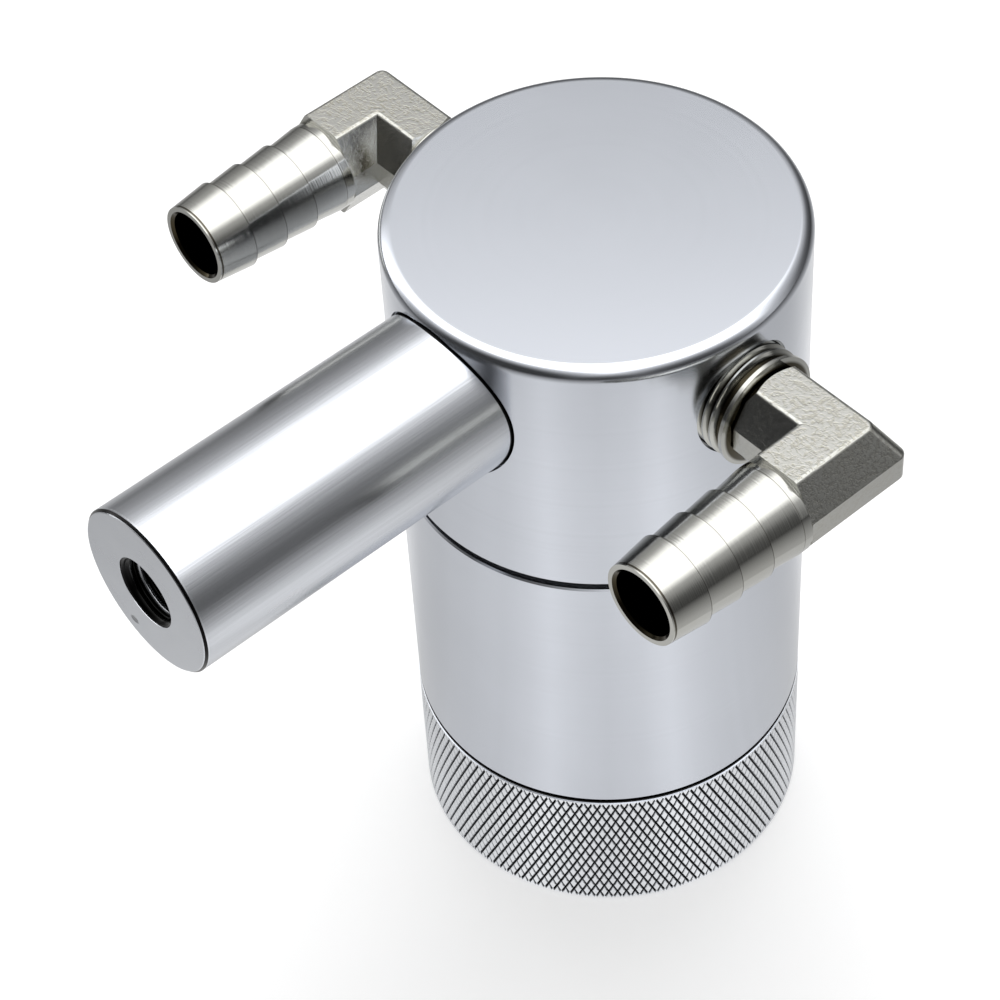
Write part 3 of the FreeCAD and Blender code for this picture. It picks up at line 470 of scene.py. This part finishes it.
def forged_skin_effect():
    """The skin of a die forging: short shallow creases along two directions, with a fine grain."""
    inputs = {"Position": ("vector", (0, 0, 0)), "Lines per mm": ("value", 1.0)}
    tree, given, result = new_effect("forged_skin", inputs, {"Height": "value", "Fold": "value"})
    x, y, z = split(tree, given["Position"].socket)
    scale = given["Lines per mm"] * 1000.0
    broken = noise(tree, given["Position"].socket, scale * 0.9, 2.0)
    creases = []
    for along, across in ((0.3, 1.0), (1.0, 0.3)):
        stretched = combine(tree, x * along, y * across, z * 0.8 + along * 0.01)
        wave = noise(tree, stretched, scale, 3.0, 0.6)
        crease = (1.0 - (wave - 0.5).size() * 16.0).clamped()
        creases.append(crease * ((broken - 0.38 - along * 0.05) * 8.0).clamped())
    fold = creases[0].most(creases[1])
    grain = noise(tree, given["Position"].socket, scale * 3.5, 2.0, 0.6)
    swell = noise(tree, given["Position"].socket, scale * 0.7, 1.0)
    join(tree, 0.6 - fold * 0.35 + grain * 0.12 + swell * 0.1, result.inputs["Height"])
    join(tree, fold, result.inputs["Fold"])
    return tree


def place_effect(tree, effect, values):
    """Put a shared effect into a material and give its outputs as chains."""
    node = tree.nodes.new("ShaderNodeGroup")
    node.node_tree = effect
    for title, value in values.items():
        join(tree, value, node.inputs[title])
    return {socket.name: Chain(tree, socket) for socket in node.outputs}


def tool_marks(tree, effects, place, along, lines):
    """The marks of turning along one length, with so many lines to the millimetre."""
    values = {"Position": place, "Along": along, "Lines per mm": lines}
    return place_effect(tree, effects["tool_marks"], values)


def handling(tree, effects, place, size):
    """Where handling has dulled a surface, in clouds of one scale."""
    return place_effect(tree, effects["handling"], {"Position": place, "Size": size})["Mask"]


# The finishes.


def new_finish(name, colour, metallic, roughness):
    """A material with one Principled shader, its constants set on the shader's own sockets."""
    material = bpy.data.materials.new(name)
    material.use_nodes = True
    material.diffuse_color = (*colour, 1.0)
    tree = material.node_tree
    shader = tree.nodes["Principled BSDF"]
    shader.inputs["Base Color"].default_value = (*colour, 1.0)
    shader.inputs["Metallic"].default_value = metallic
    shader.inputs["Roughness"].default_value = roughness
    place = tree.nodes.new("ShaderNodeTexCoord").outputs["Object"]
    return material, tree, shader, place


def tinted(colour, share):
    return tuple(channel * share for channel in colour)


def facing_up(tree):
    """How far a surface faces up, from the upward part of its own normal."""
    return split(tree, tree.nodes.new("ShaderNodeTexCoord").outputs["Normal"])[2]


def mix_colours(tree, share, first, second):
    node = tree.nodes.new("ShaderNodeMix")
    node.data_type = "RGBA"
    join(tree, share, node.inputs[0])
    for slot, colour in ((6, first), (7, second)):
        if isinstance(colour, tuple):
            colour = (*colour, 1.0)
        join(tree, colour, node.inputs[slot])
    return node.outputs[2]


def add_bump(tree, shader, height, depth):
    """Raise a surface by a height from 0 to 1 times a depth in metres."""
    node = tree.nodes.new("ShaderNodeBump")
    node.inputs["Strength"].default_value = 1.0
    node.inputs["Distance"].default_value = depth
    join(tree, height, node.inputs["Height"])
    join(tree, node.outputs["Normal"], shader.inputs["Normal"])
    return node.outputs["Normal"]


def shade_top_round(tree, shader, place, bumped):
    """Shade the head's top edge as the true round that its facets stand for."""
    x, y, z = split(tree, place)
    radius = distance_of(x, y)
    out = (radius - (BODY_RADIUS - TOP_ROUND) * MM).most(0.0)
    high = z - (CAN_HEIGHT - TOP_ROUND) * MM
    turn = tree.nodes.new("ShaderNodeVectorTransform")
    turn.vector_type = "NORMAL"
    turn.convert_from = "OBJECT"
    turn.convert_to = "WORLD"
    join(tree, combine(tree, x / radius * out, y / radius * out, high), turn.inputs[0])
    faceted = tree.nodes.new("ShaderNodeNewGeometry").outputs["Normal"]
    difference = vector_sum(tree, "SUBTRACT", turn.outputs[0], faceted)
    change = vector_sum(tree, "SCALE", difference, high.over(0.0))
    join(tree, vector_sum(tree, "ADD", change, bumped), shader.inputs["Normal"])


def turned_aluminium(name, effects, colour, roughness, depth):
    """Bare aluminium turned about the can's axis: rings on the wall and circles on the top face,
    with painted shade in the relief groove and round the arm.
    """
    material, tree, shader, place = new_finish(name, colour, 1.0, roughness)
    x, y, z = split(tree, place)
    radius = distance_of(x, y)
    marks = tool_marks(tree, effects, place, z - radius, 7.0)
    clouds = handling(tree, effects, place, 38.0)
    join(tree, roughness - 0.03 + marks["Mask"] * 0.05 + clouds * 0.05, shader.inputs["Roughness"])
    share = clouds * 0.5 + marks["Mask"] * 0.2
    plain = mix_colours(tree, share, colour, tinted(colour, 0.93))
    # Painted shade: the relief groove and a ring round the arm, where it meets the head, are
    # coloured dark as their shadow.
    low, high = RELIEF_LINE
    relief = z.over(low * MM) * z.under(high * MM) * radius.over((BODY_RADIUS - 1.0) * MM)
    from_arm = distance_of(x, z - ARM_HEIGHT * MM)
    joint_shade = from_arm.under((ARM_RADIUS + 0.25) * MM) * y.under(-20.0 * MM)
    join(tree, mix_colours(tree, relief.most(joint_shade), plain, SHADE_BLACK), shader.inputs["Base Color"])
    bumped = add_bump(tree, shader, marks["Height"], depth)
    shade_top_round(tree, shader, place, bumped)
    return material


def knurled_aluminium(name, effects, colour, roughness):
    """The cup's grip: burnished diamond tops between grooves coloured dark as painted shade,
    darkest where they face up.
    """
    material, tree, shader, place = new_finish(name, colour, 1.0, roughness)
    x, y, _ = split(tree, place)
    top = ((distance_of(x, y) - (BODY_RADIUS - 0.15) * MM) / (0.2 * MM)).clamped()
    # Painted shade: the grooves are coloured dark, and darker still on faces that look up, in place
    # of the shadow and dark reflections in them.
    upward_shade = ((facing_up(tree) - 0.06) * 5.0).clamped()
    clouds = handling(tree, effects, place, 60.0)
    grain = noise(tree, place, 3000.0, 2.0)
    groove = mix_colours(tree, upward_shade, tinted(colour, 0.3), tinted(colour, 0.015))
    join(tree, mix_colours(tree, top, groove, colour), shader.inputs["Base Color"])
    join(tree, roughness + clouds * 0.06 + (1.0 - top) * 0.3, shader.inputs["Roughness"])
    add_bump(tree, shader, grain, 0.004 * MM)
    return material


def brushed_bar(name, effects, colour, roughness):
    """The arm: aluminium bar brushed along its length, with turned end faces and painted shade at
    its seat, end chamfer, tapped hole and dent.
    """
    material, tree, shader, place = new_finish(name, colour, 1.0, roughness)
    x, y, z = split(tree, place)
    radius = distance_of(x, z - ARM_HEIGHT * MM)
    stretched = combine(tree, x, y * 0.02, z)
    streaks = noise(tree, stretched, 2600.0, 3.0, 0.6)
    wide = noise(tree, stretched, 420.0, 2.0)
    on_end = y.under((ARM_END + 0.7) * MM)
    marks = tool_marks(tree, effects, place, radius, 5.0)
    clouds = handling(tree, effects, place, 45.0)
    height = streaks * (1.0 - on_end) + marks["Height"] * on_end * 0.2
    join(tree, roughness - 0.06 + wide * 0.12 + clouds * 0.04, shader.inputs["Roughness"])
    lined = (wide * 0.5 + (streaks - 0.3) * 0.9).clamped() * (1.0 - on_end)
    plain = mix_colours(tree, lined, colour, tinted(colour, 0.8))
    # Painted shade: the ring where the bar meets the head, the end's chamfer, the tapped hole, its
    # thread roots and the dent are coloured dark.
    joint_shade = distance_of(x, y).under((BODY_RADIUS + 0.3) * MM)
    on_chamfer = (radius - y).over((ARM_RADIUS - ARM_END - 0.47) * MM)
    edge = on_chamfer * radius.over((ARM_RADIUS - 0.3) * MM)
    in_hole = radius.under((HOLE_RADIUS + 0.48) * MM) * y.under((HOLE_END + 1.0) * MM)
    in_hole = in_hole * (1.0 - y.under((ARM_END + 0.05) * MM))
    thread_root_shade = ((radius - TAPPING_RADIUS * MM) / (0.3 * MM)).clamped() * in_hole
    beside = (x - DENT[0] * MM) / (DENT_SIZE[0] * MM)
    below = (z - DENT[1] * MM) / (DENT_SIZE[1] * MM)
    dent = ((1.3 - distance_of(beside, below)) / 0.5).clamped() * on_end
    painted_shade = joint_shade.most(edge).most(thread_root_shade).most(in_hole * 0.3).most(dent * 0.6)
    join(tree, mix_colours(tree, painted_shade, plain, SHADE_BLACK), shader.inputs["Base Color"])
    add_bump(tree, shader, height - dent * 8.0, 0.012 * MM)
    return material


def plated_brass(name, effects, colour, roughness):
    """The elbows: plated brass, creased where it was forged and ringed where it was turned, with
    painted shade in its thread roots, bore and the lines at the barb's crests and mouth.
    """
    material, tree, shader, place = new_finish(name, colour, 1.0, roughness)
    x, y, z = split(tree, place)
    out = x.size()
    on_port = out.under(PORT_END * MM)
    on_barb = y.under(ELBOW_FRONT * MM)
    machined = on_port.most(on_barb)
    up = z - PORT_HEIGHT * MM
    flat = facing_up(tree).size().over(0.9)
    to_outer = ((ELBOW_REACH + ELBOW_HALF_WIDTH) * MM - out).least(ELBOW_HALF_WIDTH * MM - y)
    to_inner = (out - (ELBOW_REACH - ELBOW_HALF_WIDTH) * MM).most(y + ELBOW_HALF_WIDTH * MM)
    to_edge = to_outer.least(to_inner)
    inside = ((to_edge - ELBOW_BEVEL * MM) / (0.2 * MM)).clamped()
    rough = (1.0 - machined) * (flat * inside + (1.0 - flat) * 0.45)
    marks = tool_marks(tree, effects, place, out * on_port + y * on_barb, 4.0)
    skin = place_effect(tree, effects["forged_skin"], {"Position": place, "Lines per mm": 1.5})
    clouds = handling(tree, effects, place, 90.0)
    worn = roughness + rough * 0.14 + marks["Mask"] * machined * 0.06 + clouds * 0.03
    join(tree, worn, shader.inputs["Roughness"])
    # Warmer and darker in the creases of the forged skin, as painted shade, and where handling has
    # dulled the plating.
    warm = (colour[0] * 0.80, colour[1] * 0.76, colour[2] * 0.64)
    crease_shade_and_handling = rough * skin["Fold"] * 0.5 + clouds * 0.2
    plain = mix_colours(tree, crease_shade_and_handling.clamped(), colour, warm)
    # Painted shade: the port's thread roots, the barb's crest lines, its bore and a line behind the
    # mouth are coloured dark brown.
    thread_root_shade = on_port * ((PORT_ROOT * MM - distance_of(y, up)) / (0.4 * MM)).clamped()
    crests = ((0.0 - y - BARB_CREST * MM) / (BARB_PITCH * MM)).fraction().under(0.022)
    from_barb = distance_of(out - ELBOW_REACH * MM, up)
    in_bore = from_barb.under(BARB_BORE * MM) * on_barb
    low, high = MOUTH_LINE
    behind_mouth = from_barb.over(MOUTH_LINE_RADIUS * MM) * y.under(high * MM) * y.over(low * MM)
    recess_shade = thread_root_shade.most(crests * on_barb * 0.5).most(in_bore).most(behind_mouth * 0.9)
    join(tree, mix_colours(tree, recess_shade, plain, (0.05, 0.042, 0.025)), shader.inputs["Base Color"])
    bevel = (to_edge / (ELBOW_BEVEL * MM)).clamped() * flat * (1.0 - machined)
    height = marks["Height"] * machined * 0.4 + skin["Height"] * rough + bevel * 6.0
    add_bump(tree, shader, height, 0.05 * MM)
    return material


def plain_metal(name, effects, colour, roughness, lines, depth):
    """Plated or drawn metal inside the can, with faint tool marks up its height."""
    material, tree, shader, place = new_finish(name, colour, 1.0, roughness)
    _, y, z = split(tree, place)
    marks = tool_marks(tree, effects, place, z + y * 0.3, lines)
    clouds = handling(tree, effects, place, 120.0)
    join(tree, roughness + clouds * 0.1 + marks["Mask"] * 0.05, shader.inputs["Roughness"])
    spotted = mix_colours(tree, clouds * 0.5, colour, tinted(colour, 0.8))
    join(tree, spotted, shader.inputs["Base Color"])
    add_bump(tree, shader, marks["Height"], depth)
    return material


def nitrile_rubber(name, effects, colour):
    material, tree, shader, place = new_finish(name, colour, 0.0, 0.5)
    clouds = handling(tree, effects, place, 150.0)
    grain = noise(tree, place, 5200.0, 2.0)
    spotted = mix_colours(tree, clouds * 0.5, colour, tinted(colour, 2.2))
    join(tree, spotted, shader.inputs["Base Color"])
    join(tree, 0.42 + clouds * 0.2, shader.inputs["Roughness"])
    add_bump(tree, shader, grain, 0.01 * MM)
    return material


def knitted_wire(name, colour):
    """The filter pad: loops of crossing wire with painted shade in the gaps between them."""
    material, tree, shader, place = new_finish(name, colour, 0.9, 0.35)
    x, y, z = split(tree, place)
    around = y.sum_with("ARCTAN2", x) * 0.018
    loop = ((around * 5200.0).sine() * ((z + distance_of(x, y)) * 4300.0).sine()).size()
    wander = noise(tree, place, 700.0, 3.0)
    wire = (loop * 1.3 - wander * 0.6).clamped()
    # Painted shade: the gaps between the loops are coloured dark.
    gap_shaded_loops = mix_colours(tree, wire, tinted(colour, 0.12), colour)
    join(tree, gap_shaded_loops, shader.inputs["Base Color"])
    join(tree, 0.6 - wire * 0.3, shader.inputs["Roughness"])
    add_bump(tree, shader, wire, 0.4 * MM)
    return material


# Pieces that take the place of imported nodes.


def dress_cup(metal, grip_metal, knurl, thread):
    """The cup as one turned wall, with its full diamond knurl and its joining thread."""
    foot = [(0.0, 0.0), (29.4, 0.0), (29.9, 0.5), (29.9, 0.6), (27.0, 0.62), (27.0, 25.38)]
    outside = [
        (30.0, 25.4), (30.0, 25.9), (29.5, 25.9), (29.5, 26.5), (30.0, 26.5), (30.0, 75.75),
    ]
    rim = [
        (29.75, 76.0), (29.0, 76.0), (29.0, 75.1), (26.2, 75.1), (26.2, 76.0), (26.05, 76.0),
        (25.95, 75.9), (25.95, 62.3), (24.0, 60.9), (24.0, 9.0),
    ]
    corner = [
        (21.0 + 3.0 * math.cos(turn), 9.0 - 3.0 * math.sin(turn))
        for turn in (0.26, 0.52, 0.79, 1.05, 1.31)
    ]
    outline = foot + outside + rim + corner + [(21.0, 6.0), (0.0, 6.0)]
    wall = turned("cup_wall", outline)
    wall.data.materials.append(metal)
    smooth_faces(wall)
    grip = grow(
        "cup_knurl", knurl, grip_metal, Crest=30.1 * MM, Depth=0.5 * MM, Hidden=26.0 * MM,
        Bottom=KNURL_BOTTOM * MM, Top=KNURL_TOP * MM, Diamonds=136, Rows=8, Steps=6,
    )
    inside = grow(
        "cup_screw_thread", thread, metal, Root=25.85 * MM, Crest=25.0 * MM, Hidden=26.1 * MM,
        Start=62.5 * MM, End=75.6 * MM, Pitch=JOINING_PITCH * MM, Shift=0.5, Lead=0.0,
        Columns=160, Rows=132,
    )
    for piece in (wall, grip, inside):
        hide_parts("cup")
        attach(piece, "cup")


def dress_spigot(metal, thread):
    """The joining thread round the head's spigot."""
    piece = grow(
        "spigot_thread", thread, metal, Root=24.87 * MM, Crest=25.7 * MM, Hidden=23.5 * MM,
        Start=64.9 * MM, End=74.6 * MM, Pitch=JOINING_PITCH * MM, Shift=0.0, Lead=0.0,
        Columns=160, Rows=98,
    )
    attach(piece, "head_assembly")


def round_about_arm(mesh):
    """Shade the bar's long triangles as the true cylinder that they stand for."""
    shades = [Vector(corner.vector) for corner in mesh.corner_normals]
    for face in mesh.polygons:
        for corner in face.loop_indices:
            spot = mesh.vertices[mesh.loops[corner].vertex_index].co
            away = Vector((spot.x, 0.0, spot.z - ARM_HEIGHT * MM))
            on_bar = away.length > (ARM_RADIUS - 0.5) * MM
            if on_bar and face.normal.dot(away.normalized()) > 0.98:
                shades[corner] = away.normalized()
    mesh.normals_split_custom_set(shades)


def dress_arm(metal, thread):
    """The arm with its tapping hole opened to the full size of the thread cut in it."""
    shape = bmesh.new()
    shape.from_mesh(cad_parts["mounting_arm"].data)
    bmesh.ops.remove_doubles(shape, verts=shape.verts, dist=0.002 * MM)
    for corner in shape.verts:
        away = Vector((corner.co.x, 0.0, corner.co.z - ARM_HEIGHT * MM))
        in_hole = (TAPPING_RADIUS - 0.1) * MM < away.length < (HOLE_RADIUS + 0.13) * MM
        if in_hole and corner.co.y < (HOLE_END + 1.0) * MM:
            depth = ((ARM_END + HOLE_MOUTH) * MM - corner.co.y) / (HOLE_MOUTH * MM)
            away *= (HOLE_RADIUS + 0.3 * min(max(depth, 0.0), 1.0)) * MM / away.length
            corner.co = Vector((away.x, corner.co.y, away.z + ARM_HEIGHT * MM))
    mesh = bpy.data.meshes.new("mounting_arm_bar")
    shape.to_mesh(mesh)
    shape.free()
    mesh.materials.append(metal)
    bar = put("mounting_arm_bar", mesh)
    smooth_faces(bar)
    round_about_arm(mesh)
    cut = grow(
        "mounting_arm_thread", thread, metal, Root=5.0 * MM, Crest=4.25 * MM, Hidden=5.6 * MM,
        Start=0.2 * MM, End=21.85 * MM, Pitch=TAPPED_PITCH * MM, Shift=0.0, Lead=5.2 * MM,
        Columns=96, Rows=204,
        Place=(0.0, HOLE_END * MM, ARM_HEIGHT * MM), Turn=(math.pi / 2, 0.0, 0.0),
    )
    for piece in (bar, cut):
        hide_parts("mounting_arm")
        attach(piece, "head_assembly")


def coat(node, material):
    """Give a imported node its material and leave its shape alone."""
    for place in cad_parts[node].material_slots:
        place.material = material


# The floor, the backdrop and the light.


def level_ramp(tree, value, levels):
    """Levels of grey along a value from 0 to 1."""
    ramp = tree.nodes.new("ShaderNodeValToRGB")
    join(tree, value, ramp.inputs[0])
    stops = ramp.color_ramp.elements
    for place, level in levels[1:-1]:
        stops.new(place)
    for stop, (place, level) in zip(stops, levels):
        stop.position = place
        stop.color = (level, level, level, 1.0)
    return Chain(tree, ramp.outputs["Color"])


def kinds_of_ray(tree):
    """Whether a ray comes off a glossy surface, and whether it comes from the camera or glass."""
    rays = tree.nodes.new("ShaderNodeLightPath").outputs
    seen = Chain(tree, rays["Is Camera Ray"]).most(rays["Is Transmission Ray"])
    return Chain(tree, rays["Is Glossy Ray"]), seen


def white_floor():
    """White paper that keeps the can's shadow; bright metal sees it dim with distance."""
    mesh = bpy.data.meshes.new("floor")
    sides = ((-1, -1), (1, -1), (1, 1), (-1, 1))
    corners = [(FLOOR_REACH * x, FLOOR_REACH * y, 0.0) for x, y in sides]
    mesh.from_pydata(corners, [], [(0, 1, 2, 3)])
    floor = put("floor", mesh)
    material = bpy.data.materials.new("white_floor")
    material.use_nodes = True
    tree = material.node_tree
    tree.nodes.remove(tree.nodes["Principled BSDF"])
    x, y, _ = split(tree, tree.nodes.new("ShaderNodeTexCoord").outputs["Object"])
    distance = distance_of(x, y)
    side = math.radians(AZIMUTH)
    front = x * math.sin(side) - y * math.cos(side)
    across = x * math.cos(side) + y * math.sin(side)
    angle = across.sum_with("ARCTAN2", front) / math.pi
    cards = level_ramp(tree, angle.size(), FLOOR_LEVELS)
    streaks = line_noise(tree, angle, 40.0) * 0.08 + 0.96
    fall = (FLOOR_NEAR / distance).least(1.0).sum_with("POWER", FLOOR_FALL)
    dim = fall * cards * streaks
    mirrored, seen = kinds_of_ray(tree)
    paper = tree.nodes.new("ShaderNodeBsdfDiffuse")
    level = (1.0 - mirrored) * 0.6 + mirrored * dim * 0.35
    join(tree, combine(tree, level, level, level), paper.inputs["Color"])
    # The floor glows though it is no lamp: evenly to the camera, and to glossy rays in bands round
    # the can that dim with distance.
    glow = tree.nodes.new("ShaderNodeEmission")
    far = ((distance - 0.25) / 0.8).clamped()
    join(tree, seen * (0.5 + far * 0.15) + mirrored * dim * 0.74, glow.inputs["Strength"])
    both = tree.nodes.new("ShaderNodeAddShader")
    join(tree, paper.outputs[0], both.inputs[0])
    join(tree, glow.outputs[0], both.inputs[1])
    join(tree, both.outputs[0], tree.nodes["Material Output"].inputs["Surface"])
    mesh.materials.append(material)


def studio_world():
    """White behind the can; bright metal sees one broad square soft lamp overhead in a dim room."""
    world = bpy.data.worlds.new("studio")
    bpy.context.scene.world = world
    world.use_nodes = True
    tree = world.node_tree
    background = tree.nodes["Background"]
    background.inputs["Color"].default_value = (1.0, 1.0, 1.0, 1.0)
    x, y, _ = split(tree, tree.nodes.new("ShaderNodeTexCoord").outputs["Generated"])
    side = math.radians(AZIMUTH)
    behind = y * math.cos(side) - x * math.sin(side)
    outwards = (behind - 0.06).most(x).most(y).most(behind * -1.6 - 0.6).most(0.15 - y)
    room = level_ramp(tree, outwards, ROOM_LEVELS) * LAMP_LEVEL
    mirrored, seen = kinds_of_ray(tree)
    level = seen + (1.0 - seen) * (mirrored * room + (1.0 - mirrored) * 0.6)
    join(tree, level, background.inputs["Strength"])


def soft_lamp():
    """A round soft lamp for the floor's shadow, which bright metal doesn't mirror."""
    data = bpy.data.lights.new("lamp_top", "AREA")
    data.shape = "DISK"
    data.size = 0.8
    data.energy = 8.0
    lamp = bpy.data.objects.new("lamp_top", data)
    lamp.visible_glossy = False
    lamp.location = LAMP_PLACE
    lamp.rotation_euler = (AIM - LAMP_PLACE).to_track_quat("-Z", "Y").to_euler()
    bpy.context.scene.collection.objects.link(lamp)


# The whole can.


def main():
    bpy.context.scene.view_settings.view_transform = "Standard"
    place_camera()
    effects = {
        "tool_marks": tool_marks_effect(),
        "handling": handling_effect(),
        "forged_skin": forged_skin_effect(),
    }
    bright = (0.66, 0.685, 0.74)
    body_metal = turned_aluminium("polished_aluminium", effects, bright, 0.17, 0.001 * MM)
    grip_metal = knurled_aluminium("knurled_aluminium", effects, (0.88, 0.90, 0.93), 0.25)
    arm_metal = brushed_bar("brushed_aluminium", effects, (0.70, 0.72, 0.76), 0.24)
    plated = plated_brass("nickel_brass", effects, (0.485, 0.485, 0.46), 0.1)
    steel = plain_metal("screw_steel", effects, (0.55, 0.55, 0.56), 0.3, 3.0, 0.004 * MM)
    tube = plain_metal("tube_aluminium", effects, (0.64, 0.65, 0.67), 0.28, 1.5, 0.003 * MM)
    stainless = plain_metal("stainless", effects, (0.56, 0.56, 0.57), 0.25, 2.0, 0.003 * MM)
    rubber = nitrile_rubber("black_rubber", effects, (0.012, 0.012, 0.013))
    wire = knitted_wire("wire_mesh", (0.5, 0.5, 0.5))
    fasteners = (
        "arm_screw", "arm_seal_washer", "arm_dowel", "centre_stud", "stud_washer", "stud_nut",
    )
    coats = {
        body_metal: ("head", "cup"),
        arm_metal: ("mounting_arm",),
        plated: ("inlet_elbow", "outlet_elbow", "tube_ferrule"),
        steel: fasteners,
        tube: ("drop_tube", "upper_spacer", "lower_spacer"),
        stainless: ("upper_screen", "lower_screen", "splash_plate"),
        rubber: ("cup_seal",),
        wire: ("filter_pad",),
    }
    for material, nodes in coats.items():
        for node in nodes:
            coat(node, material)
    knurl = knurl_tree()
    thread = thread_tree()
    dress_cup(body_metal, grip_metal, knurl, thread)
    dress_spigot(body_metal, thread)
    dress_arm(arm_metal, thread)
    white_floor()
    studio_world()
    soft_lamp()


main()
